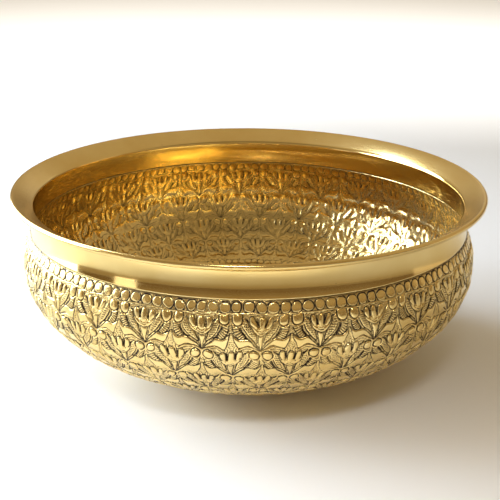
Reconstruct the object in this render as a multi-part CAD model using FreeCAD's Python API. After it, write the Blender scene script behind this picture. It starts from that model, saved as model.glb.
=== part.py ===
import FreeCAD, Part
import math
import os

# Brass urli bowl, in millimetres.
# +Z is up, and the origin is the centre of the face that the foot ring rests on.
# Every piece is a turned ring or shell, so each one is a flat section revolved about Z.
# A section lies in the XZ plane, where x is the radius and z is the height.

RIM_RADIUS = 152.5
OVERALL_HEIGHT = 119.0
SHEET = 0.9

# The rim is the collar's edge, rolled outward and under around a wire.
BEAD_RADIUS = 1.68
WIRE_CLEARANCE = 0.03
CURL_TURN = 280.0

# The lip is a shallow arc that gets steeper inward, then turns into the neck on a small corner.
LIP_OUTER_SLOPE = 26.0
LIP_INNER_SLOPE = 38.0
LIP_ARC_RADIUS = 61.5
CORNER_RADIUS = 3.4

# The wall below the corner is four tangent arcs.
# An angle is the wall's lean from straight down, and it is positive where the wall leans outward.
NECK_RADIUS = 46.2
NECK_LEAN = 23.4
BELLY_RADIUS = 45.1
BELLY_LEAN = -36.3
FLANK_RADIUS = 86.4
FLANK_LEAN = -62.1
BASE_RADIUS = 154.7
BASE_LEAN = -90.0

# The collar and the chased bowl meet end to end, with a ring of brazing filler between them.
SEAM_DROP = 24.3
SEAM_WIDTH = 0.5

# The foot ring is a plain hoop brazed under the floor. It leans inward as it rises.
FOOT_OUTER_RADIUS = 56.0
FOOT_TOP_RADIUS = 54.0
FOOT_WALL = 1.8
FOOT_EDGE_ROUND = 0.4
FOOT_FILLET = 1.4
CUTTING_MARGIN = 2.0


def point(radius, height):
    return FreeCAD.Vector(radius, 0, height)


def on_circle(centre, radius, degrees):
    angle = math.radians(degrees)
    return point(centre.x + radius * math.cos(angle), centre.z + radius * math.sin(angle))


def arc(centre, radius, start, end):
    """An edge on a circle, from one angle to another, counted in degrees from outward."""
    middle = (start + end) / 2
    points = [on_circle(centre, radius, degrees) for degrees in (start, middle, end)]
    return Part.Arc(*points).toShape()


def line(start, end):
    return Part.LineSegment(start, end).toShape()


def revolved(edges):
    """A full turn about Z of the face that a closed run of edges bounds."""
    face = Part.Face(Part.Wire(Part.sortEdges(edges)[0]))
    return face.revolve(FreeCAD.Vector(0, 0, 0), FreeCAD.Vector(0, 0, 1), 360)


def polygon(*corners):
    return [line(corners[i - 1], corners[i]) for i in range(len(corners))]


def bead_centre():
    return point(RIM_RADIUS - BEAD_RADIUS, OVERALL_HEIGHT - BEAD_RADIUS)


def lip_centre():
    """The lip's upper face touches the bead's circle, so both centres are on one line."""
    return on_circle(bead_centre(), LIP_ARC_RADIUS - BEAD_RADIUS, LIP_OUTER_SLOPE - 90)


def corner_centre():
    return on_circle(lip_centre(), LIP_ARC_RADIUS - CORNER_RADIUS, LIP_INNER_SLOPE + 90)


def neck_centre():
    corner = corner_centre()
    return point(corner.x - CORNER_RADIUS + SHEET + NECK_RADIUS, corner.z)


def next_centre(centre, radius, lean, next_radius):
    """The centre of a convex arc that carries on from an arc whose centre is on the axis side."""
    return on_circle(centre, radius - next_radius, lean)


def wall_arcs():
    """The convex arcs of the outer face, as centre, radius, first lean and last lean."""
    neck = neck_centre()
    belly = on_circle(neck, NECK_RADIUS + BELLY_RADIUS, 180 + NECK_LEAN)
    flank = next_centre(belly, BELLY_RADIUS, BELLY_LEAN, FLANK_RADIUS)
    base = next_centre(flank, FLANK_RADIUS, FLANK_LEAN, BASE_RADIUS)
    return [
        (belly, BELLY_RADIUS, NECK_LEAN, BELLY_LEAN),
        (flank, FLANK_RADIUS, BELLY_LEAN, FLANK_LEAN),
        (base, BASE_RADIUS, FLANK_LEAN, BASE_LEAN),
    ]


def seam_leans():
    """The wall's lean at the seam's upper and lower edge."""
    drop = SEAM_DROP - (OVERALL_HEIGHT - neck_centre().z)
    middle = math.degrees(math.asin(drop / NECK_RADIUS))
    half = math.degrees(SEAM_WIDTH / 2 / NECK_RADIUS)
    return middle - half, middle + half


def neck_face_edge(depth, start, end):
    """An arc of the neck, at a depth below the outer face, between two leans."""
    return arc(neck_centre(), NECK_RADIUS + depth, 180 + start, 180 + end)


def neck_cut(lean):
    """The line straight through the neck's wall at a lean."""
    centre = neck_centre()
    outer = on_circle(centre, NECK_RADIUS, 180 + lean)
    inner = on_circle(centre, NECK_RADIUS + SHEET, 180 + lean)
    return line(outer, inner)


def make_rim_collar():
    """The polished neck and flared lip, in one spun piece, with its edge curled around the wire."""
    upper_lean = seam_leans()[0]
    corner = corner_centre()
    lip = lip_centre()
    bead = bead_centre()
    inner = BEAD_RADIUS - SHEET
    curl_start = LIP_OUTER_SLOPE + 90
    curl_end = curl_start - CURL_TURN
    edges = [
        neck_cut(upper_lean),
        neck_face_edge(SHEET, upper_lean, 0),
        arc(corner, CORNER_RADIUS, 180, LIP_INNER_SLOPE + 90),
        arc(lip, LIP_ARC_RADIUS, LIP_INNER_SLOPE + 90, curl_start),
        arc(bead, BEAD_RADIUS, curl_start, curl_end),
        line(on_circle(bead, BEAD_RADIUS, curl_end), on_circle(bead, inner, curl_end)),
        arc(bead, inner, curl_end, curl_start),
        arc(lip, LIP_ARC_RADIUS - SHEET, curl_start, LIP_INNER_SLOPE + 90),
        arc(corner, CORNER_RADIUS - SHEET, LIP_INNER_SLOPE + 90, 180),
        neck_face_edge(0, 0, upper_lean),
    ]
    return revolved(edges)


def make_rim_wire():
    """The wire that stiffens the rim, inside the collar's curl."""
    radius = BEAD_RADIUS - SHEET - WIRE_CLEARANCE
    return revolved([Part.Circle(bead_centre(), FreeCAD.Vector(0, 1, 0), radius).toShape()])


def make_collar_seam():
    """The ring of brazing filler between the collar and the bowl, dressed flush on both sides."""
    upper, lower = seam_leans()
    edges = [
        neck_cut(upper),
        neck_face_edge(SHEET, upper, lower),
        neck_cut(lower),
        neck_face_edge(0, lower, upper),
    ]
    return revolved(edges)


def wall_face_edges(depth):
    """The wall's face below the neck, at a depth below the outer face, from the neck to the floor."""
    return [arc(centre, radius - depth, first, last) for centre, radius, first, last in wall_arcs()]


def floor_corner(depth):
    """Where the curved wall meets the flat floor."""
    centre, radius, _, last = wall_arcs()[-1]
    return on_circle(centre, radius - depth, last)


def make_bowl_body():
    """The chased bowl: a wall of even thickness, from the seam down to a flat floor."""
    lower_lean = seam_leans()[1]
    outside = floor_corner(0)
    inside = floor_corner(SHEET)
    edges = [neck_cut(lower_lean), neck_face_edge(0, lower_lean, NECK_LEAN)]
    edges += wall_face_edges(0)
    edges.append(line(outside, point(0, outside.z)))
    edges.append(line(point(0, outside.z), point(0, inside.z)))
    edges.append(line(point(0, inside.z), inside))
    edges += wall_face_edges(SHEET)
    edges.append(neck_face_edge(SHEET, NECK_LEAN, lower_lean))
    return revolved(edges)


def bowl_envelope():
    """Everything inside the outer face of the lowest arc and the floor, as one solid to cut with."""
    centre, radius, first, last = wall_arcs()[-1]
    top = on_circle(centre, radius, first)
    low = floor_corner(0)
    edges = [
        arc(centre, radius, first, last),
        line(low, point(0, low.z)),
        line(point(0, low.z), point(0, top.z)),
        line(point(0, top.z), top),
    ]
    return revolved(edges)


def underside_height(radius):
    """The height of the bowl's outer face where it curves up from the flat floor."""
    centre = wall_arcs()[-1][0]
    return centre.z - math.sqrt(BASE_RADIUS ** 2 - (radius - centre.x) ** 2)


def foot_side_radius(height):
    """The radius of the foot ring's outer side at a height."""
    share = height / underside_height(FOOT_TOP_RADIUS)
    return FOOT_OUTER_RADIUS + share * (FOOT_TOP_RADIUS - FOOT_OUTER_RADIUS)


def foot_blank():
    """The foot ring before its upper edge is fitted to the bowl."""
    top = underside_height(FOOT_TOP_RADIUS) + CUTTING_MARGIN
    outer_low = foot_side_radius(0)
    outer_high = foot_side_radius(top)
    return revolved(
        polygon(
            point(outer_low, 0),
            point(outer_high, top),
            point(outer_high - FOOT_WALL, top),
            point(outer_low - FOOT_WALL, 0),
        )
    )


def lowest_edges(shape):
    return [edge for edge in shape.Edges if edge.CenterOfMass.z < FOOT_EDGE_ROUND / 2]


def make_foot_ring():
    """The hoop that the bowl stands on, its upper edge shaped to the curve of the bowl's underside."""
    blank = foot_blank()
    rounded = blank.makeFillet(FOOT_EDGE_ROUND, lowest_edges(blank))
    return rounded.cut(bowl_envelope())


def make_foot_seam():
    """The fillet of brazing filler around the outside of the foot ring, against the bowl."""
    top = underside_height(FOOT_TOP_RADIUS)
    low = top - FOOT_FILLET
    outer = FOOT_TOP_RADIUS + FOOT_FILLET
    section = polygon(
        point(foot_side_radius(low), low),
        point(outer, underside_height(outer)),
        point(outer, top + CUTTING_MARGIN),
        point(foot_side_radius(top) - FOOT_WALL / 2, top + CUTTING_MARGIN),
    )
    return revolved(section).cut(foot_blank()).cut(bowl_envelope())


def export(name, shape):
    """Writes one piece, which is a single solid, and says how large it is."""
    solid = shape.Solids[0]
    solid.exportStep("parts/" + name + ".step")
    box = solid.optimalBoundingBox()
    print(name, "solids", len(shape.Solids), "valid", solid.isValid(), "volume", round(solid.Volume, 1))
    print("  radius", round(box.XMax, 2), "height", round(box.ZMin, 2), "to", round(box.ZMax, 2))


os.makedirs("parts", exist_ok=True)
export("bowl_body", make_bowl_body())
export("rim_collar", make_rim_collar())
export("rim_wire", make_rim_wire())
export("collar_braze_seam", make_collar_seam())
export("foot_ring", make_foot_ring())
export("foot_braze_seam", make_foot_seam())
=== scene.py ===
import math

import bpy
import numpy as np
from mathutils import Matrix, Vector


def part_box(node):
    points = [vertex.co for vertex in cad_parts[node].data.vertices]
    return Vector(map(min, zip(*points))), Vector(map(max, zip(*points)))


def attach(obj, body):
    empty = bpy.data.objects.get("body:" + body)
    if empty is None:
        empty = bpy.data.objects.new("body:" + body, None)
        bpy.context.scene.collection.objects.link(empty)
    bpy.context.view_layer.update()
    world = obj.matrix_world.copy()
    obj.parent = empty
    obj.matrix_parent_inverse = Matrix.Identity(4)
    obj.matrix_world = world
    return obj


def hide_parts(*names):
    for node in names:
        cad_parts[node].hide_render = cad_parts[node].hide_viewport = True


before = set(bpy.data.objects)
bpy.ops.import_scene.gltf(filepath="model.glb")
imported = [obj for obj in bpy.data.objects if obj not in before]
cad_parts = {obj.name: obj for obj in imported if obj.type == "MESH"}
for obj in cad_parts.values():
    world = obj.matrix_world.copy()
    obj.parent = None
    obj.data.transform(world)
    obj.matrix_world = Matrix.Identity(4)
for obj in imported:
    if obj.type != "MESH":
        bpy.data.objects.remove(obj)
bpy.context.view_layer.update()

# Brass urli bowl. Lengths are in metres, +Z is up and the origin is the centre of the foot.
# The bowl is worked in sheet brass: its outer face is chased, and its inner face shows a softer copy of
# the pattern at the same places.

MM = 0.001
RIM_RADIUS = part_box("rim_collar")[1].x
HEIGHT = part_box("rim_collar")[1].z
SHEET = 0.9 * MM

# The section of the wall, which follows the frame's: the bead, the lip and its corner, then the arcs of
# the neck and the bowl. A lean is the wall's angle from straight down, in degrees, positive outward.
BEAD_RADIUS = 1.68 * MM
CURL_TURN = 280.0
LIP_OUTER_SLOPE = 26.0
LIP_INNER_SLOPE = 38.0
LIP_RADIUS = 61.5 * MM
CORNER_RADIUS = 3.4 * MM
NECK_RADIUS = 46.2 * MM
BELLY_RADIUS = 45.1 * MM
FLANK_RADIUS = 86.4 * MM
BASE_RADIUS = 154.7 * MM
NECK_LEAN = 23.4
BELLY_LEAN = -36.3
FLANK_LEAN = -62.1
BASE_LEAN = -90.0
SEAM_DROP = 24.3 * MM
SEAM_WIDTH = 0.5 * MM
WALL_STEP = 0.05 * MM
HUB_RADIUS = 0.4 * MM
COLLAR_STEP = 0.6 * MM
COLLAR_COLUMNS = 600
COLLAR_WOBBLE = 0.05 * MM

# The chased pattern. Its cells have square proportions at every radius: U is the turn, and V is the way
# down the wall divided by the radius there. Both are counted in units, and V is 0 at the first row's end.
UNITS = 28
PITCH = 2 * math.pi / UNITS
FIRST_UNIT = math.radians(-90 + 2.83)
FIRST_ROW = 0.197
ROW_STEP = 0.606
ROWS = 4
BAND_GAP = 0.10
OVALS_PER_UNIT = 5
LOTUS_PETALS = 42
LOTUS_GAP = 0.02
PATTERN_RADIUS = 146 * MM
SMALLEST_DEPTH = 0.55

# How far the chaser's hand strays, in units: slowly along the rows, and quickly within a motif.
DRIFT = 0.014
SHAKE = 0.005

# The floor's rings and rosette. Their radii are in millimetres.
FLOOR_RINGS = (53.0, 50.5, 17.0, 14.5)
RAISED_RING = 51.75
ROSETTE_START = 19
ROSETTE_END = 46
ROSETTE_PETALS = 14

# The mesh. A stage is the fall that it ends at and how many times coarser it is than the finest columns.
CELL_STEPS = 400
COLUMNS_PER_UNIT = 96
OUTER_STAGES = [(0.72, 1), (1.27, 2), (1.9, 4), (2.6, 8), (3.4, 16), (4.6, 32)]
INNER_STAGES = [(1.27, 2), (2.0, 4), (2.7, 8), (3.5, 16), (4.6, 32)]
INNER_SOFTENING = 3
REVERSE_PATINA = 0.8


# ---------------------------------------------------------------- section of the wall


def on_circle(centre, radius, degrees):
    angle = math.radians(degrees)
    return centre[0] + radius * math.cos(angle), centre[1] + radius * math.sin(angle)


BEAD = (RIM_RADIUS - BEAD_RADIUS, HEIGHT - BEAD_RADIUS)
LIP = on_circle(BEAD, LIP_RADIUS - BEAD_RADIUS, LIP_OUTER_SLOPE - 90)
CORNER = on_circle(LIP, LIP_RADIUS - CORNER_RADIUS, LIP_INNER_SLOPE + 90)
NECK = (CORNER[0] - CORNER_RADIUS + SHEET + NECK_RADIUS, CORNER[1])
BELLY = on_circle(NECK, NECK_RADIUS + BELLY_RADIUS, 180 + NECK_LEAN)
FLANK = on_circle(BELLY, BELLY_RADIUS - FLANK_RADIUS, BELLY_LEAN)
BASE = on_circle(FLANK, FLANK_RADIUS - BASE_RADIUS, FLANK_LEAN)
FLOOR = BASE[1] - BASE_RADIUS
SEAM_LEAN = math.degrees(math.asin((SEAM_DROP - HEIGHT + NECK[1]) / NECK_RADIUS))
SEAM_HALF = math.degrees(SEAM_WIDTH / 2 / NECK_RADIUS)


def run_of_arc(centre, radius, start, end, step, hollow=False):
    """Points along an arc as rows of radius, height and the face's normal. A hollow arc faces its centre."""
    count = max(2, int(abs(math.radians(end - start)) * radius / step) + 1)
    angles = np.radians(np.linspace(start, end, count))
    sign = -1.0 if hollow else 1.0
    cos, sin = np.cos(angles), np.sin(angles)
    return np.stack([centre[0] + radius * cos, centre[1] + radius * sin, sign * cos, sign * sin], 1)


def joined(runs):
    """One table from several runs that meet end to end."""
    return np.vstack([runs[0]] + [run[1:] for run in runs[1:]])


def trace_wall():
    """The bowl's outer face from the seam's middle down to a small hub at the axis."""
    runs = [
        run_of_arc(NECK, NECK_RADIUS, 180 + SEAM_LEAN, 180 + NECK_LEAN, WALL_STEP, hollow=True),
        run_of_arc(BELLY, BELLY_RADIUS, NECK_LEAN, BELLY_LEAN, WALL_STEP),
        run_of_arc(FLANK, FLANK_RADIUS, BELLY_LEAN, FLANK_LEAN, WALL_STEP),
        run_of_arc(BASE, BASE_RADIUS, FLANK_LEAN, BASE_LEAN, WALL_STEP),
    ]
    flat = np.geomspace(BASE[0], HUB_RADIUS, 900)
    floor = np.full(flat.shape, FLOOR)
    runs.append(np.stack([flat, floor, 0 * flat, 0 * flat - 1], 1))
    return joined(runs)


WALL = trace_wall()
WALL_STEPS = np.hypot(np.diff(WALL[:, 0]), np.diff(WALL[:, 1]))
WALL_FALL = np.concatenate([[0], np.cumsum(WALL_STEPS * 2 / (WALL[1:, 0] + WALL[:-1, 0]))])
SEAM_FALL = SEAM_WIDTH / 2 / WALL[0, 0]


def wall_at(fall):
    """Radius, height and normal of the outer face, where fall is the way down divided by the radius."""
    return [np.interp(fall, WALL_FALL, WALL[:, i]) for i in range(4)]


# ---------------------------------------------------------------- shapes of the pattern


def smooth_path(rows, steps):
    """A Catmull-Rom curve through the rows of a table."""
    p = np.array(rows, float)
    p = np.vstack([2 * p[0] - p[1], p, 2 * p[-1] - p[-2]])
    places = []
    for i in range(1, len(p) - 2):
        a, b, c, d = p[i - 1 : i + 3]
        for k in range(steps):
            t = k / steps
            bend = 2 * a - 5 * b + 4 * c - d
            twist = 3 * b - a - 3 * c + d
            places.append(0.5 * (2 * b + (c - a) * t + bend * t * t + twist * t**3))
    places.append(p[-2])
    return np.array(places)


def stroke(u, v, rows, steps=4):
    """How far each place is outside a tapering stroke, its share of the way along, and its place across.
    The stroke's rows are U, V and half width."""
    path = smooth_path(rows, steps)
    lengths = np.hypot(np.diff(path[:, 0]), np.diff(path[:, 1]))
    starts = np.concatenate([[0], np.cumsum(lengths)])
    outside = np.full(u.shape, 9.0)
    along = np.zeros(u.shape)
    across = np.zeros(u.shape)
    for (ax, ay, aw), (bx, by, bw), length, start in zip(path, path[1:], lengths, starts):
        dx, dy = (bx - ax) / length, (by - ay) / length
        t = np.clip((u - ax) * dx + (v - ay) * dy, 0, length)
        off = np.hypot(u - ax - t * dx, v - ay - t * dy)
        distance = off - aw - (bw - aw) * t / length
        near = distance < outside
        outside = np.where(near, distance, outside)
        along = np.where(near, (start + t) / starts[-1], along)
        across = np.where(near, np.sign(dx * (v - ay) - dy * (u - ax)) * off, across)
    return outside, along, across


def cushion(outside, height, round_in):
    """A form that rises from 0 at its edge to its full height at a depth of round_in."""
    t = np.clip(-outside / round_in, 0, 1)
    return height * np.sqrt(1 - (1 - t) ** 2)


def on_line(distance, width):
    return np.exp(-((distance / width) ** 2))


def turns(share):
    return np.cos(2 * math.pi * share)


class Relief:
    """A patch of worked metal: its height in millimetres and, from 0 to 1, its dark patina."""

    def __init__(self, height, dark):
        self.height = height
        self.dark = dark

    def lay(self, inside, height, dark=0.0):
        """Put a form over the patch."""
        self.height = np.where(inside, height, self.height)
        self.dark = np.where(inside, dark, self.dark)

    def incise(self, distance, width, depth, dark=0.9):
        """Cut a line where a distance is 0."""
        self.height = self.height - depth * on_line(distance, width)
        self.dark = np.maximum(self.dark, dark * on_line(distance, width * 1.2))

    def ridge(self, distance, width, height):
        """Raise a line, and rub its patina off."""
        line = on_line(distance, width)
        self.height = self.height + height * line
        self.dark = self.dark * (1 - 0.9 * line)


# One unit of the pattern, mirrored about its own middle. Its stem ends at U 0, V 0, and its strokes are
# rows of U, V and half width.
ARCH = [
    (0.0, 0.0, 0), (0.07, -0.032, 0), (0.14, -0.066, 0), (0.21, -0.088, 0),
    (0.28, -0.078, 0), (0.34, -0.052, 0), (0.387, -0.015, 0),
]
OGEE = [(0.387, -0.015, 0), (0.425, -0.075, 0), (0.455, -0.14, 0), (0.482, -0.21, 0), (0.5, -0.30, 0)]
PETAL = [(0.0, -0.556, 0.050), (0.0, -0.48, 0.057), (0.0, -0.40, 0.044)]
SIDE_PETAL = [(0.150, -0.556, 0.044), (0.142, -0.50, 0.050), (0.112, -0.43, 0.034)]
SLOT = [(0.077, -0.585, 0.004), (0.079, -0.50, 0.006), (0.068, -0.425, 0.011)]
ARM = [(0.232, -0.55, 0.004), (0.185, -0.46, 0.016), (0.125, -0.385, 0.030), (0.05, -0.33, 0.042)]
STEM = [(0, -0.40, 0.09), (0, -0.33, 0.062), (0, -0.24, 0.052), (0, -0.12, 0.028), (0, 0, 0.004)]
LEAF = [
    (0.300, -0.555, 0.030), (0.262, -0.475, 0.056), (0.205, -0.365, 0.063),
    (0.138, -0.26, 0.048), (0.070, -0.155, 0.010),
]
VEIN = [(0.345, -0.44, 0), (0.318, -0.355, 0), (0.235, -0.235, 0), (0.117, -0.125, 0), (0, 0, 0)]
WING = [
    (0.0, 0.0, 0.006), (0.07, -0.064, 0.032), (0.14, -0.120, 0.054), (0.21, -0.160, 0.070),
    (0.30, -0.150, 0.078), (0.375, -0.132, 0.086), (0.43, -0.190, 0.054), (0.482, -0.290, 0.010),
]
RIBBON = [(0.425, -0.455, 0.050), (0.402, -0.36, 0.056), (0.350, -0.275, 0.056), (0.300, -0.215, 0.046)]
DROP = [(0.388, -0.60, 0.080), (0.388, -0.56, 0.084), (0.388, -0.535, 0.082)]
BOSS = [(0.390, -0.516, 0.080), (0.390, -0.510, 0.080)]
GROUND_PITCH = 0.046
RIBBON_STRIPES = 7
ROPE_TURNS = 9
PETAL_BASE = -0.42
FAR = 9


def matted_ground(u, v):
    """The sunk ground, matted all over with a small punch in slanting, uneven rows."""
    wander = 0.2 * np.sin(2 * math.pi * (9 * u + 4 * v)) + 0.2 * np.sin(2 * math.pi * (11 * v - 5 * u))
    rows = np.sin(2 * math.pi * ((0.8 * u + 0.5 * v) / GROUND_PITCH + wander))
    columns = np.sin(2 * math.pi * ((0.8 * v - 0.5 * u) / GROUND_PITCH - wander))
    dots = rows * columns
    return Relief(-0.30 + 0.12 * dots, 0.34 - 0.50 * dots)


def hood_lines(relief, a, v):
    """Lines that follow the arch of the row above."""
    below, _, _ = stroke(0.5 - a, v + ROW_STEP, ARCH)
    relief.ridge(below - 0.026, width=0.012, height=0.22)
    relief.incise(below - 0.048, width=0.010, depth=0.14, dark=0.8)
    relief.ridge(below - 0.070, width=0.011, height=0.16)
    relief.incise(below - 0.090, width=0.009, depth=0.12, dark=0.7)
    relief.incise(below, width=0.012, depth=0.30)


def ribbon(relief, a, v):
    """A striped ribbon between the leaf and the row's edge."""
    outside, along, _ = stroke(a, v, RIBBON)
    stripes = turns(RIBBON_STRIPES * along)
    relief.lay(outside < 0, -0.10 + 0.14 * stripes + cushion(outside, 0.2, 0.04), 0.40 - 0.55 * stripes)
    relief.incise(outside, width=0.011, depth=0.25)


def wing(relief, a, v):
    """The plain swelling form that closes the row below the leaf."""
    outside, _, _ = stroke(a, v, WING)
    relief.lay(outside < 0, -0.35 + cushion(outside, 0.75, 0.045))
    relief.incise(np.where(a > 0.02, outside, FAR), width=0.011, depth=0.22)


def leaf(relief, a, v):
    """A long leaf with stippled hatching inside a thin rim."""
    outside, along, across = stroke(a, v, LEAF)
    hatch = turns(10 * along + 8 * across) * turns(across / GROUND_PITCH)
    relief.lay(outside < 0, -0.06 + cushion(outside, 0.25, 0.05) + 0.15 * hatch, 0.45 - 0.80 * hatch)
    relief.ridge(outside + 0.018, width=0.008, height=0.10)
    relief.incise(outside, width=0.010, depth=0.30, dark=1.0)


def stem(relief, a, v):
    """The stem and the two arms that hold the petals."""
    arm, _, _ = stroke(a, v, ARM)
    stalk, _, _ = stroke(a, v, STEM)
    outside = np.minimum(arm, np.where(v > PETAL_BASE, stalk, FAR))
    relief.lay(outside < 0, -0.30 + cushion(outside, 0.75, 0.05))
    relief.incise(outside, width=0.010, depth=0.22)


def petals(relief, a, v):
    """Three upright petals with a dark slot on each side of the middle one."""
    for rows, height in ((SIDE_PETAL, 0.80), (PETAL, 1.0)):
        outside, _, _ = stroke(a, v, rows)
        relief.lay(outside < 0, -0.25 + cushion(outside, height, 0.055))
        relief.incise(np.where(v < PETAL_BASE, outside, FAR), width=0.010, depth=0.2)
    outside, _, _ = stroke(a, v, SLOT)
    relief.height = relief.height - 0.55 * np.clip(1 - outside / 0.012, 0, 1)
    relief.dark = np.maximum(relief.dark, np.clip(1 - outside / 0.010, 0, 1))


def collar_lines(relief, a, v):
    """Two bowed cuts that tie the petals to the stem."""
    half_width = 0.055
    for place, width in ((-0.335, 0.008), (-0.290, 0.012)):
        bow = place + 0.010 - 0.012 * (a / 0.05) ** 2
        relief.incise(np.where(a < half_width, v - bow, FAR), width, depth=0.35)


def edges_of_row(relief, a, v):
    """The deep line down to the stem's end, and the roped line where two wings meet."""
    vein, _, _ = stroke(a, v, VEIN)
    relief.incise(vein, width=0.011, depth=0.36, dark=1.0)
    ogee, along, _ = stroke(a, v, OGEE)
    relief.ridge(ogee, width=0.012, height=0.25 + 0.1 * turns(ROPE_TURNS * along))
    relief.incise(ogee - 0.020, width=0.010, depth=0.18)
    arch, _, _ = stroke(a, v, ARCH)
    relief.incise(arch, width=0.012, depth=0.35)


def bosses(relief, a, v, rows):
    """A domed boss in a deep outline, with a fine raised line around it."""
    outside, _, _ = stroke(a, v, rows, 1)
    relief.lay(outside < 0.004, -0.22 + cushion(outside, 0.95, 0.080))
    relief.incise(outside - 0.006, width=0.013, depth=0.42, dark=1.0)
    relief.ridge(outside - 0.026, width=0.009, height=0.18)


def unit_of_pattern(u, v, first):
    """One unit of a row. The first row lies under the border, so its bosses are cut off drops."""
    a = np.abs(u)
    relief = matted_ground(u, v)
    if not first:
        hood_lines(relief, a, v)
    ribbon(relief, a, v)
    wing(relief, a, v)
    leaf(relief, a, v)
    stem(relief, a, v)
    petals(relief, a, v)
    collar_lines(relief, a, v)
    edges_of_row(relief, a, v)
    bosses(relief, a, v, DROP if first else BOSS)
    return relief


class Stamp:
    """One unit drawn once on a fine grid, to be laid round the bowl."""

    TOP = -0.96
    LOW = 0.02

    def __init__(self, first):
        across = (np.arange(CELL_STEPS) + 0.5) / CELL_STEPS - 0.5
        down = np.arange(self.TOP, self.LOW, 1 / CELL_STEPS)
        u, v = np.meshgrid(across, down)
        relief = unit_of_pattern(u, v, first)
        self.maps = relief.height.astype(np.float32), np.clip(relief.dark, 0, 1).astype(np.float32)

    def read(self, u, v):
        """Height and darkness at places in the unit."""
        x = (u + 0.5) * CELL_STEPS - 0.5
        y = (v - self.TOP) * CELL_STEPS
        x0, y0 = np.floor(x).astype(int), np.floor(y).astype(int)
        fx, fy = x - x0, y - y0
        left, right = x0 % CELL_STEPS, (x0 + 1) % CELL_STEPS
        last = len(self.maps[0]) - 1
        up, low = np.clip(y0, 0, last), np.clip(y0 + 1, 0, last)
        found = []
        for table in self.maps:
            upper = table[up, left] * (1 - fx) + table[up, right] * fx
            lower = table[low, left] * (1 - fx) + table[low, right] * fx
            found.append(upper * (1 - fy) + lower * fy)
        return found


# ---------------------------------------------------------------- the whole pattern

rng = np.random.default_rng(28)


def v_of(fall):
    return (fall - FIRST_ROW) / PITCH


BORDER_TOP = v_of(0.0035)
BORDER_LOW = v_of(0.0555)
BAND_TOP = ROW_STEP * (ROWS - 1) + BAND_GAP
BAND_HEIGHT = BORDER_LOW - BORDER_TOP
BAND_LOW = BAND_TOP + BAND_HEIGHT
LOTUS_TOP = BAND_LOW + LOTUS_GAP
LOTUS_LOW = v_of(1.27)


class Wander:
    """A smooth wander of size 1, which closes after a full turn. Its waves are drawn once."""

    def __init__(self, per_turn, per_unit, count=6):
        self.count = count
        self.around = np.round(per_turn * rng.uniform(0.4, 1.3, count))
        self.down = 2 * math.pi * per_unit * rng.uniform(-1.3, 1.3, count)
        self.phase = rng.uniform(0, 2 * math.pi, count)

    def at(self, turn, v):
        total = 0
        for around, down, phase in zip(self.around, self.down, self.phase):
            total = total + np.sin(around * turn + down * v + phase)
        return total / math.sqrt(self.count)


class OvalBand:
    """A row of domed ovals between chased lines. Each oval's shape is drawn once. A band has a rib and
    a second line along its lower edge, or along its upper edge if it is flipped."""

    MIDDLE = 0.108
    HALF_HEIGHT = 0.098
    RIB = 0.017

    def __init__(self, flip):
        count = UNITS * OVALS_PER_UNIT
        self.flip = flip
        self.shift_u = rng.uniform(-0.008, 0.008, count)
        self.shift_v = rng.uniform(-0.008, 0.008, count)
        self.half_width = rng.uniform(0.088, 0.100, count)
        self.squareness = rng.uniform(2.0, 2.6, count)

    def down(self, place):
        """A place counted from the band's upper line, or from its lower line if it is flipped."""
        return BAND_HEIGHT - place if self.flip else place

    def worked(self, u, v):
        """The band, where v is 0 at its upper line and grows downward."""
        width = 1 / OVALS_PER_UNIT
        oval = np.floor(u / width + 0.5).astype(int) % len(self.shift_u)
        half_width = self.half_width[oval]
        squareness = self.squareness[oval]
        x = (u / width + 0.5) % 1.0 * width - width / 2 - self.shift_u[oval]
        y = v - self.down(self.MIDDLE) - self.shift_v[oval]
        reach = (np.abs(x) / half_width) ** squareness + (np.abs(y) / self.HALF_HEIGHT) ** squareness
        outside = (reach ** (1 / squareness) - 1) * half_width
        relief = Relief(np.full(u.shape, -0.10), np.full(u.shape, 0.20))
        relief.lay(outside < 0, -0.08 + cushion(outside, 0.30, 0.06))
        relief.incise(outside, width=0.013, depth=0.26, dark=1.0)
        relief.incise(outside + 0.034, width=0.008, depth=0.06, dark=0.30)
        relief.incise(v - self.down(0.0), width=0.011, depth=0.30, dark=1.0)
        relief.incise(v - self.down(BAND_HEIGHT - 0.030), width=0.010, depth=0.20, dark=1.0)
        relief.incise(v - self.down(BAND_HEIGHT), width=0.011, depth=0.30, dark=1.0)
        relief.ridge(v - self.down(BAND_HEIGHT - self.RIB), width=0.010, height=0.35)
        return relief


def lotus(turn, v):
    """Long domed petals that run in to the foot, each with a sunk middle line."""
    share = turn * LOTUS_PETALS / (2 * math.pi)
    x = (share + 0.5) % 1.0 - 0.5
    t = np.clip((v - LOTUS_TOP) / (LOTUS_LOW - LOTUS_TOP), 0, 1)
    tip = 0.22
    half_width = 0.46 * np.sqrt(np.clip(1 - (1 - t / tip) ** 2, 0, 1) * (t < tip) + (t >= tip))
    outside = (np.abs(x) - half_width) * UNITS / LOTUS_PETALS
    middle = np.where((t > 0.12) & (t < 0.8), x * UNITS / LOTUS_PETALS, FAR)
    fade = np.clip((1 - t) / 0.08, 0, 1)
    relief = Relief(np.full(x.shape, -0.30), np.full(x.shape, 0.4))
    relief.lay(outside < 0, -0.30 + cushion(outside, 0.85, 0.11))
    relief.incise(outside, width=0.014, depth=0.3)
    relief.incise(middle, width=0.012, depth=0.25, dark=0.6)
    relief.height = relief.height * fade
    relief.dark = relief.dark * fade
    return relief


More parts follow.
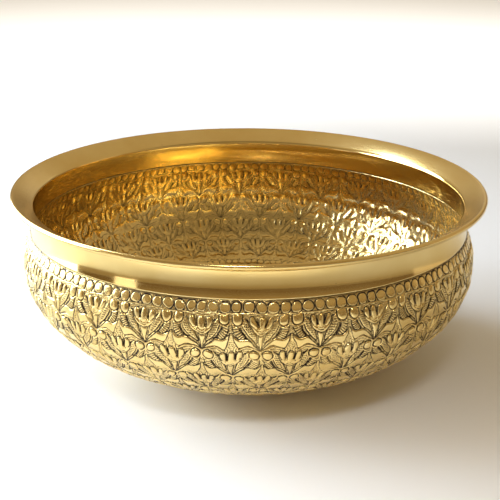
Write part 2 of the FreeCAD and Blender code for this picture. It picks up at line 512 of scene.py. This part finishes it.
def floor_rings(v):
    """Turned rings on the floor, and a low dome at its middle."""
    radius = wall_at(FIRST_ROW + v * PITCH)[0] / MM
    relief = Relief(np.zeros(v.shape), np.zeros(v.shape))
    for ring in FLOOR_RINGS:
        relief.incise(radius - ring, width=0.55, depth=0.30, dark=0.8)
    relief.ridge(radius - RAISED_RING, width=0.8, height=0.25)
    relief.ridge(radius, width=9.0, height=0.8)
    return relief


def rosette(turn, v):
    """A rosette of pointed petals around the middle of the floor."""
    radius = wall_at(FIRST_ROW + v * PITCH)[0] / MM
    x = (turn * ROSETTE_PETALS / (2 * math.pi) + 0.5) % 1.0 - 0.5
    t = np.clip((radius - ROSETTE_START) / (ROSETTE_END - ROSETTE_START), 0, 1)
    half_width = 0.46 * np.sin(math.pi * t**0.8)
    outside = (np.abs(x) - half_width) * 2 * math.pi * np.clip(radius, 1, None) / ROSETTE_PETALS
    here = (radius > ROSETTE_START) & (radius < ROSETTE_END)
    relief = floor_rings(v)
    relief.lay(here & (outside < 0), cushion(outside, 0.8, 3.0))
    relief.incise(np.where(here, outside, FAR), width=0.5, depth=0.3, dark=0.8)
    return relief


def bowl_relief(turn, fall, inside=False):
    """Height in metres and patina of the bowl's face, by the turn and the fall."""
    u = (turn - FIRST_UNIT) / PITCH
    v = v_of(fall)
    u, v = np.broadcast_arrays(u, v)
    turn = np.broadcast_to(turn, u.shape)
    wander_u = DRIFT * DRIFT_U.at(turn, v) + SHAKE * SHAKE_U.at(turn, v)
    wander_v = DRIFT * DRIFT_V.at(turn, v) + SHAKE * SHAKE_V.at(turn, v)
    settle = np.clip((v - BORDER_TOP) / 0.05, 0, 1)
    u = u + wander_u
    v = v + wander_v * settle
    height = np.zeros(u.shape)
    dark = np.zeros(u.shape)

    def take(here, relief):
        height[here] = relief.height
        dark[here] = np.clip(relief.dark, 0, 1)

    here = v < BORDER_LOW
    take(here, BORDER_OVALS.worked(u[here], v[here] - BORDER_TOP))
    done = here
    edge = np.array(ARCH[:-1] + OGEE)
    for row in range(ROWS):
        stamp = STAMPS[min(row, 1)]
        cell_u = (u - 0.5 * (row % 2) + 0.5) % 1.0 - 0.5
        cell_v = v - ROW_STEP * row
        arch = np.interp(np.abs(cell_u), edge[:, 0], edge[:, 1])
        here = ~done & (cell_v <= arch)
        height[here], dark[here] = stamp.read(cell_u[here], cell_v[here])
        done = done | here
    here = ~done & (v < BAND_TOP)
    take(here, matted_ground(u[here], v[here]))
    done = done | here
    here = ~done & (v < BAND_LOW)
    take(here, CLOSING_OVALS.worked(u[here], v[here] - BAND_TOP))
    done = done | here
    here = ~done & (v < LOTUS_LOW)
    take(here, lotus(turn[here] - FIRST_UNIT, v[here]))
    here = v >= LOTUS_LOW
    take(here, rosette(turn[here], v[here]) if inside else floor_rings(v[here]))

    radius = wall_at(fall)[0]
    size = np.clip(radius / PATTERN_RADIUS, SMALLEST_DEPTH, 1)
    uneven = 1 + 0.18 * DEPTHS.at(turn, v)
    dents = 0.05 * DENTS.at(turn, v) + 0.03 * SMALL_DENTS.at(turn, v)
    if inside:
        dents = dents + 0.10 * WRINKLES.at(turn, v)
        dark = dark * REVERSE_PATINA
    at_seam = np.clip((fall - SEAM_FALL) / 0.002, 0, 1)
    height = (height * size * uneven + dents) * at_seam
    dark = dark * np.clip(1 + 0.2 * WEAR.at(turn, v), 0.7, 1)
    return height * MM, dark * at_seam


STAMPS = [Stamp(True), Stamp(False)]
DRIFT_U = Wander(30, 1.2)
SHAKE_U = Wander(110, 4)
DRIFT_V = Wander(34, 1.1)
SHAKE_V = Wander(120, 4)
DEPTHS = Wander(60, 1.6)
DENTS = Wander(40, 1.5)
SMALL_DENTS = Wander(150, 5)
WRINKLES = Wander(190, 6, 10)
WEAR = Wander(25, 1.0)
BORDER_OVALS = OvalBand(False)
CLOSING_OVALS = OvalBand(True)


# ---------------------------------------------------------------- meshes


def new_piece(name, points, polygons, material):
    """A smooth piece from an array of points and a list of arrays of polygons, each of one size."""
    mesh = bpy.data.meshes.new(name)
    mesh.vertices.add(len(points))
    mesh.vertices.foreach_set("co", np.asarray(points, np.float32).ravel())
    corners = np.concatenate([group.ravel() for group in polygons])
    sizes = np.concatenate([np.full(len(group), group.shape[1]) for group in polygons])
    starts = np.concatenate([[0], np.cumsum(sizes)[:-1]])
    mesh.loops.add(len(corners))
    mesh.loops.foreach_set("vertex_index", corners.astype(np.int32))
    mesh.polygons.add(len(sizes))
    mesh.polygons.foreach_set("loop_start", starts.astype(np.int32))
    mesh.polygons.foreach_set("use_smooth", np.ones(len(sizes), bool))
    mesh.update(calc_edges=True)
    mesh.validate()
    mesh.materials.append(material)
    piece = bpy.data.objects.new(name, mesh)
    bpy.context.scene.collection.objects.link(piece)
    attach(piece, "root")
    return piece


def add_values(piece, name, values):
    """A number for each point of a piece, for its material to read."""
    layer = piece.data.attributes.new(name, "FLOAT", "POINT")
    layer.data.foreach_set("value", np.asarray(values, np.float32))


def bridge(a_start, a_count, b_start, b_count):
    """Polygons between two rings of points. One ring may have half or twice the points of the other."""
    if a_count == b_count:
        i = np.arange(a_count)
        j = (i + 1) % a_count
        return [np.stack([a_start + i, a_start + j, b_start + j, b_start + i], 1)]
    if a_count > b_count:
        flipped = bridge(b_start, b_count, a_start, a_count)
        return [group[:, ::-1] for group in flipped]
    i = np.arange(a_count)
    j = (i + 1) % a_count
    left, middle, right = 2 * i, 2 * i + 1, (2 * i + 2) % b_count
    return [
        np.stack([a_start + i, b_start + middle, b_start + left], 1),
        np.stack([a_start + i, a_start + j, b_start + middle], 1),
        np.stack([a_start + j, b_start + right, b_start + middle], 1),
    ]


def fan(centre, start, count, outward):
    """Triangles from one point to a ring of points."""
    i = np.arange(count)
    j = (i + 1) % count
    order = [j, i] if outward else [i, j]
    return np.stack([np.full(count, centre), start + order[0], start + order[1]], 1)


def softened(height):
    """The same relief, as it shows through the sheet."""
    for _ in range(INNER_SOFTENING):
        height = (np.roll(height, 1, 1) + 2 * height + np.roll(height, -1, 1)) / 4
        padded = np.vstack([height[:1], height, height[-1:]])
        height = (padded[:-2] + 2 * padded[1:-1] + padded[2:]) / 4
    return height


def face_rings(stages, inside=False):
    """A face of the bowl from the seam down: for each ring, its points and their patina."""
    rings = []
    fall = SEAM_FALL
    for end, coarser in stages:
        count = UNITS * COLUMNS_PER_UNIT // coarser
        step = 2 * math.pi / count
        rows = max(2, int((end - fall) / step))
        falls = fall + step * np.arange(rows)
        turn = 2 * math.pi * np.arange(count) / count
        height, dark = bowl_relief(turn[None, :], falls[:, None], inside)
        rise = softened(height) - SHEET if inside else height
        radius, level, out, up = [part[:, None] for part in wall_at(falls)]
        r = radius + out * rise
        z = level + up * rise
        points = np.stack([r * np.cos(turn), r * np.sin(turn), z + 0 * turn], 2)
        rings += list(zip(points, dark))
        fall = falls[-1] + step
    return rings


def make_chased_bowl():
    """The chased bowl as one closed mesh: up the outer face, over the top edge and down the inner face."""
    rings = face_rings(OUTER_STAGES)[::-1] + face_rings(INNER_STAGES, inside=True)
    points = [np.array([[0, 0, FLOOR]])]
    darks = [np.zeros(1)]
    starts = []
    total = 1
    for ring, dark in rings:
        starts.append(total)
        points.append(ring)
        darks.append(dark)
        total += len(ring)
    points.append(np.array([[0, 0, FLOOR + SHEET]]))
    darks.append(np.zeros(1))
    counts = [len(ring) for ring, _ in rings]
    polygons = [fan(0, starts[0], counts[0], True)]
    for i in range(len(rings) - 1):
        polygons += bridge(starts[i], counts[i], starts[i + 1], counts[i + 1])
    polygons.append(fan(total, starts[-1], counts[-1], False))
    quads = [group for group in polygons if group.shape[1] == 4]
    triangles = [group for group in polygons if group.shape[1] == 3]
    groups = [np.concatenate(quads), np.concatenate(triangles)]
    piece = new_piece("chased_bowl", np.concatenate(points), groups, chased_brass())
    add_values(piece, "patina", np.concatenate(darks))
    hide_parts("bowl_body")
    return piece


def turned_piece(name, section, columns, material, wobble):
    """A closed section of radius and height turned about the axis, with a slight hand-made wander."""
    turn = 2 * math.pi * np.arange(columns) / columns
    rows = len(section)
    radius, level = section[:, 0][:, None], section[:, 1][:, None]
    place = level / (10 * MM)
    slow, quick = Wander(7, 0.05), Wander(24, 0.1)
    wander = wobble * (slow.at(turn[None, :], place) + 0.5 * quick.at(turn[None, :], place))
    r = radius + wander
    z = level + 0 * r
    points = np.stack([r * np.cos(turn), r * np.sin(turn), z], 2).reshape(-1, 3)
    i = np.arange(rows)[:, None] * columns
    j = (np.arange(rows)[:, None] + 1) % rows * columns
    k = np.arange(columns)[None, :]
    n = (k + 1) % columns
    quads = np.stack([i + k, i + n, j + n, j + k], 2).reshape(-1, 4)
    return new_piece(name, points, [quads], material)


def collar_section():
    """The collar's closed section, from the seam up the outer face, round the bead and back down the
    inner face, and how satin each of its points is."""
    step = COLLAR_STEP
    upper = SEAM_LEAN - SEAM_HALF
    curl_start = LIP_OUTER_SLOPE + 90
    curl_end = curl_start - CURL_TURN
    lip_inner = LIP_INNER_SLOPE + 90
    runs = [
        (0.0, run_of_arc(NECK, NECK_RADIUS, 180 + upper, 180, step)),
        (0.0, run_of_arc(CORNER, CORNER_RADIUS - SHEET, 180, lip_inner, step / 3)),
        (0.3, run_of_arc(LIP, LIP_RADIUS - SHEET, lip_inner, curl_start, step)),
        (0.3, run_of_arc(BEAD, BEAD_RADIUS - SHEET, curl_start, curl_end, step / 2)),
        (0.5, run_of_arc(BEAD, BEAD_RADIUS, curl_end, curl_start, step / 2)),
        (1.0, run_of_arc(LIP, LIP_RADIUS, curl_start, lip_inner, step)),
        (0.15, run_of_arc(CORNER, CORNER_RADIUS, lip_inner, 180, step / 3)),
        (0.0, run_of_arc(NECK, NECK_RADIUS + SHEET, 180, 180 + upper, step)),
    ]
    section = np.vstack([run[:, :2] for _, run in runs])
    satin = np.concatenate([np.full(len(run), share) for share, run in runs])
    keep = np.ones(len(section), bool)
    gaps = np.hypot(*np.diff(section, axis=0).T)
    keep[1:] = gaps > 0.001 * MM
    return section[keep], satin[keep]


def make_collar():
    """The polished neck and lip, with its edge curled round the wire."""
    section, satin = collar_section()
    piece = turned_piece("polished_collar", section, COLLAR_COLUMNS, polished_brass(), COLLAR_WOBBLE)
    add_values(piece, "satin", np.repeat(satin, COLLAR_COLUMNS))
    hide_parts("rim_collar")
    return piece


# ---------------------------------------------------------------- materials


class Nodes:
    """A short way to write a material's nodes."""

    def __init__(self, tree):
        self.tree = tree
        tree.nodes.clear()

    def add(self, kind, settings=None, **inputs):
        node = self.tree.nodes.new(kind)
        for key, value in (settings or {}).items():
            setattr(node, key, value)
        for key, value in inputs.items():
            self.put(node.inputs[key.replace("_", " ")], value)
        return node

    def put(self, socket, value):
        if isinstance(value, bpy.types.NodeSocket):
            self.tree.links.new(value, socket)
        else:
            socket.default_value = value

    def math(self, operation, a, b=0.0, clamp=False):
        node = self.tree.nodes.new("ShaderNodeMath")
        node.operation = operation
        node.use_clamp = clamp
        self.put(node.inputs[0], a)
        self.put(node.inputs[1], b)
        return node.outputs[0]

    def mix(self, share, a, b):
        node = self.tree.nodes.new("ShaderNodeMix")
        node.data_type = "RGBA"
        self.put(node.inputs[0], share)
        self.put(node.inputs[6], a)
        self.put(node.inputs[7], b)
        return node.outputs[2]

    def ramp(self, value, low, high, start=0.0, end=1.0):
        """A smooth change from start to end as a value goes from low to high."""
        node = self.tree.nodes.new("ShaderNodeMapRange")
        node.interpolation_type = "SMOOTHSTEP"
        for socket, number in zip(node.inputs[:5], (value, low, high, start, end)):
            self.put(socket, number)
        return node.outputs[0]

    def noise(self, vector, scale, detail=3.0, rough=0.5):
        node = self.add("ShaderNodeTexNoise", Scale=scale, Detail=detail, Roughness=rough)
        self.put(node.inputs["Vector"], vector)
        return node.outputs["Fac"]


def new_material(name):
    material = bpy.data.materials.new(name)
    material.use_nodes = True
    return material, Nodes(material.node_tree)


def finish_metal(nodes, colour, roughness, height, depth):
    """The metal shader, with the finest unevenness of its surface as bump."""
    bump = nodes.add("ShaderNodeBump", Strength=1.0, Distance=depth, Height=height)
    shader = nodes.add("ShaderNodeBsdfPrincipled", Metallic=1.0, Roughness=roughness)
    nodes.put(shader.inputs["Normal"], bump.outputs[0])
    nodes.put(shader.inputs["Base Color"], colour)
    out = nodes.tree.nodes.new("ShaderNodeOutputMaterial")
    nodes.tree.links.new(shader.outputs[0], out.inputs["Surface"])


# The brass's colours: clean, a little deeper in its clouds, and where old polish has blackened it.
BRASS_LIGHT = (0.88, 0.68, 0.30, 1)
BRASS_DEEP = (0.80, 0.575, 0.21, 1)
BRASS_DARK = (0.034, 0.024, 0.022, 1)


def chased_brass():
    """Chased brass: bright on the raised forms, with old dark polish left in the lines."""
    material, nodes = new_material("chased_brass")
    place = nodes.tree.nodes.new("ShaderNodeTexCoord").outputs["Object"]
    patina = nodes.add("ShaderNodeAttribute", {"attribute_name": "patina"}).outputs["Fac"]
    cloud = nodes.noise(place, 18, 4, 0.6)
    grit = nodes.noise(place, 900, 2, 0.5)
    tone = nodes.mix(nodes.ramp(cloud, 0.3, 0.7), BRASS_LIGHT, BRASS_DEEP)
    stain = nodes.math("MULTIPLY", patina, nodes.ramp(grit, 0.25, 0.6, 0.7, 1.1), clamp=True)
    soot = nodes.ramp(stain, 0.20, 0.90)
    colour = nodes.mix(soot, tone, BRASS_DARK)
    clean = nodes.ramp(cloud, 0.2, 0.8, 0.17, 0.27)
    rough = nodes.math("ADD", clean, nodes.math("MULTIPLY", soot, 0.35))
    hammer = nodes.noise(place, 260, 2, 0.5)
    height = nodes.math("ADD", hammer, nodes.math("MULTIPLY", grit, 0.35))
    finish_metal(nodes, colour, rough, height, 0.00012)
    return material


def turning_lines(nodes, place):
    """Fine noise that runs in rings about the axis, because its place hardly changes along a ring."""
    xyz = nodes.add("ShaderNodeSeparateXYZ", Vector=place)
    across = nodes.math("POWER", xyz.outputs[0], 2)
    along = nodes.math("POWER", xyz.outputs[1], 2)
    radius = nodes.math("SQRT", nodes.math("ADD", across, along))
    spin = nodes.add("ShaderNodeCombineXYZ")
    nodes.put(spin.inputs[0], nodes.math("MULTIPLY", xyz.outputs[0], 0.004))
    nodes.put(spin.inputs[1], nodes.math("MULTIPLY", xyz.outputs[1], 0.004))
    nodes.put(spin.inputs[2], nodes.math("ADD", nodes.math("MULTIPLY", radius, 0.8), xyz.outputs[2]))
    return nodes.noise(spin.outputs[0], 1400, 2, 0.6)


def polished_brass():
    """Spun brass, bright at the neck and satin on the lip, with faint turning lines and small pits."""
    material, nodes = new_material("polished_brass")
    place = nodes.tree.nodes.new("ShaderNodeTexCoord").outputs["Object"]
    satin = nodes.add("ShaderNodeAttribute", {"attribute_name": "satin"}).outputs["Fac"]
    lines = turning_lines(nodes, place)
    cloud = nodes.noise(place, 14, 4, 0.6)
    pits = nodes.add("ShaderNodeTexVoronoi", Vector=place, Scale=70.0).outputs["Distance"]
    pit = nodes.ramp(pits, 0.022, 0.040, 1.0, 0.0)
    tone = nodes.mix(nodes.ramp(cloud, 0.3, 0.7), BRASS_LIGHT, BRASS_DEEP)
    colour = nodes.mix(nodes.math("MULTIPLY", pit, 0.6), tone, BRASS_DARK)
    base = nodes.ramp(satin, 0.0, 1.0, 0.07, 0.22)
    rough = nodes.math("ADD", base, nodes.ramp(lines, 0.3, 0.7, 0.0, 0.05))
    height = nodes.math("SUBTRACT", nodes.math("MULTIPLY", lines, 0.12), pit)
    finish_metal(nodes, colour, rough, height, 0.00006)
    return material


def plain_metal(name, light, dark, rough, grain):
    """A plain metal with cloudy tone and a fine grain, for the small and hidden pieces."""
    material, nodes = new_material(name)
    place = nodes.tree.nodes.new("ShaderNodeTexCoord").outputs["Object"]
    cloud = nodes.noise(place, 60, 4, 0.6)
    fine = nodes.noise(place, grain, 2, 0.5)
    colour = nodes.mix(nodes.ramp(cloud, 0.3, 0.7), light, dark)
    roughness = nodes.ramp(fine, 0.3, 0.7, rough - 0.06, rough + 0.08)
    finish_metal(nodes, colour, roughness, fine, 0.00008)
    return material


def give_material(node, material):
    """A better material for a CAD node that stays."""
    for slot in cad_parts[node].material_slots:
        slot.material = material


# ---------------------------------------------------------------- stage, light and camera


def make_floor():
    """A plain pale floor."""
    half = 20.0
    mesh = bpy.data.meshes.new("floor")
    corners = [(-half, -half, 0), (half, -half, 0), (half, half, 0), (-half, half, 0)]
    mesh.from_pydata(corners, [], [(0, 1, 2, 3)])
    floor = bpy.data.objects.new("floor", mesh)
    bpy.context.scene.collection.objects.link(floor)
    material, nodes = new_material("pale_floor")
    place = nodes.tree.nodes.new("ShaderNodeTexCoord").outputs["Object"]
    tone = nodes.mix(nodes.noise(place, 3.0, 3), (0.86, 0.86, 0.85, 1), (0.90, 0.90, 0.89, 1))
    shader = nodes.add("ShaderNodeBsdfPrincipled", Roughness=0.7)
    nodes.put(shader.inputs["Base Color"], tone)
    out = nodes.tree.nodes.new("ShaderNodeOutputMaterial")
    nodes.tree.links.new(shader.outputs[0], out.inputs["Surface"])
    mesh.materials.append(material)


def direction(azimuth, elevation):
    """A unit vector, where azimuth 0 is toward the camera and grows toward +X."""
    a, e = math.radians(azimuth), math.radians(elevation)
    return Vector((math.sin(a) * math.cos(e), -math.cos(a) * math.cos(e), math.sin(e)))


WHITE = (1, 1, 1)
DAYLIGHT = (0.72, 0.84, 1.0)
BOWL_MIDDLE = (0, 0, 0.06)


def soft_box(name, azimuth, elevation, distance, size, radiance, spread=180, colour=WHITE, aim=BOWL_MIDDLE):
    """A rectangular soft box placed around the bowl. It lights and is reflected, but isn't seen itself.
    Spread is the width of its beam in degrees, and is narrow where the box has a grid on it."""
    width, height = size
    light = bpy.data.lights.new(name, "AREA")
    light.shape = "RECTANGLE"
    light.size = width
    light.size_y = height
    half_beam = math.radians(spread) / 2
    light.spread = 2 * half_beam
    light.energy = radiance * math.pi * width * height * (1 - half_beam / math.tan(half_beam))
    light.color = colour
    lamp = bpy.data.objects.new(name, light)
    lamp.location = Vector(BOWL_MIDDLE) + distance * direction(azimuth, elevation)
    lamp.rotation_euler = (Vector(aim) - lamp.location).to_track_quat("-Z", "Y").to_euler()
    lamp.visible_camera = False
    bpy.context.scene.collection.objects.link(lamp)


def make_room():
    """A plain warm room, dim at eye level and high up behind the camera, and lighter elsewhere."""
    dim, light, dimmest = (0.18, 0.12, 0.06, 1), (0.48, 0.375, 0.23, 1), (0.12, 0.09, 0.05, 1)
    world = bpy.data.worlds.new("room")
    bpy.context.scene.world = world
    world.use_nodes = True
    nodes = Nodes(world.node_tree)
    way = nodes.tree.nodes.new("ShaderNodeTexCoord").outputs["Generated"]
    parts = nodes.add("ShaderNodeSeparateXYZ", Vector=way)
    back, up = parts.outputs[1], parts.outputs[2]
    walls = nodes.mix(nodes.ramp(up, 0.0, 0.36), dim, light)
    front = nodes.ramp(back, -0.5, 0.0, 1.0, 0.0)
    high_front = nodes.math("MULTIPLY", front, nodes.ramp(up, 0.35, 0.65))
    colour = nodes.mix(nodes.math("MULTIPLY", high_front, 0.6), walls, dimmest)
    background = nodes.add("ShaderNodeBackground", Color=colour, Strength=1.0)
    out = nodes.tree.nodes.new("ShaderNodeOutputWorld")
    nodes.tree.links.new(background.outputs[0], out.inputs["Surface"])


# The camera's place, then how far it looks down, turns and rolls in radians, and its lens.
CAMERA_PLACE = (0.0, -0.6587, 0.3116)
CAMERA_DOWN = 0.3488
CAMERA_TURN = 0.0015
CAMERA_ROLL = 0.0072
CAMERA_LENS = 75.73


def make_camera():
    """The camera, a little above the rim and looking down into the bowl."""
    data = bpy.data.cameras.new("camera")
    data.lens = CAMERA_LENS
    data.sensor_width = 36.0
    camera = bpy.data.objects.new("camera", data)
    bpy.context.scene.collection.objects.link(camera)
    ahead = Vector((
        math.sin(CAMERA_TURN) * math.cos(CAMERA_DOWN),
        math.cos(CAMERA_TURN) * math.cos(CAMERA_DOWN),
        -math.sin(CAMERA_DOWN),
    ))
    side = ahead.cross(Vector((0, 0, 1))).normalized()
    top = side.cross(ahead)
    right = math.cos(CAMERA_ROLL) * side + math.sin(CAMERA_ROLL) * top
    above = right.cross(ahead)
    turned = Matrix((right, above, -ahead)).transposed()
    camera.matrix_world = Matrix.Translation(CAMERA_PLACE) @ turned.to_4x4()
    bpy.context.scene.camera = camera


def make_lights():
    """Plain soft boxes: daylight from the left and behind, a pool of light on the floor in front, weak
    fills, and light on the floor far behind."""
    soft_box("window", -134, 47, 1.3, (0.36, 0.34), 15.0, spread=90, colour=DAYLIGHT)
    soft_box("side_window", -86, 22, 1.2, (0.5, 0.5), 16.0, spread=40, colour=DAYLIGHT)
    soft_box("left_fill", -114, 18, 1.2, (1.2, 1.0), 11.0, spread=130, colour=DAYLIGHT)
    soft_box("right_back", 163, 20, 1.4, (0.7, 0.5), 0.16)
    soft_box("front_floor", -8, 45, 1.3, (0.5, 0.2), 82.0, spread=24, aim=(-0.05, -0.29, 0))
    soft_box("front_fill", -59, 5, 1.4, (0.3, 0.25), 1.5)
    soft_box("right_fill", 100, 6, 1.4, (0.8, 0.5), 0.35, colour=(1.0, 0.88, 0.70))
    soft_box("background", 180, 40, 1.2, (1.8, 0.6), 8.0, aim=(0.3, 3.0, 0))


def finish_small_nodes():
    """Materials for the four CAD nodes that stay: the wire, the two brazed seams and the foot."""
    wire = plain_metal("drawn_wire", (0.55, 0.55, 0.56, 1), (0.40, 0.39, 0.38, 1), 0.3, 1500)
    dark_braze = plain_metal("braze", (0.20, 0.14, 0.06, 1), (0.09, 0.06, 0.03, 1), 0.5, 900)
    rough_braze = plain_metal("braze_rough", (0.74, 0.58, 0.32, 1), (0.50, 0.36, 0.17, 1), 0.4, 900)
    foot = plain_metal("foot_brass", BRASS_LIGHT, BRASS_DEEP, 0.25, 1200)
    give_material("rim_wire", wire)
    give_material("collar_braze_seam", dark_braze)
    give_material("foot_braze_seam", rough_braze)
    give_material("foot_ring", foot)


make_camera()
make_floor()
make_room()
make_lights()
make_chased_bowl()
make_collar()
finish_small_nodes()
bpy.context.scene.view_settings.view_transform = "Standard"
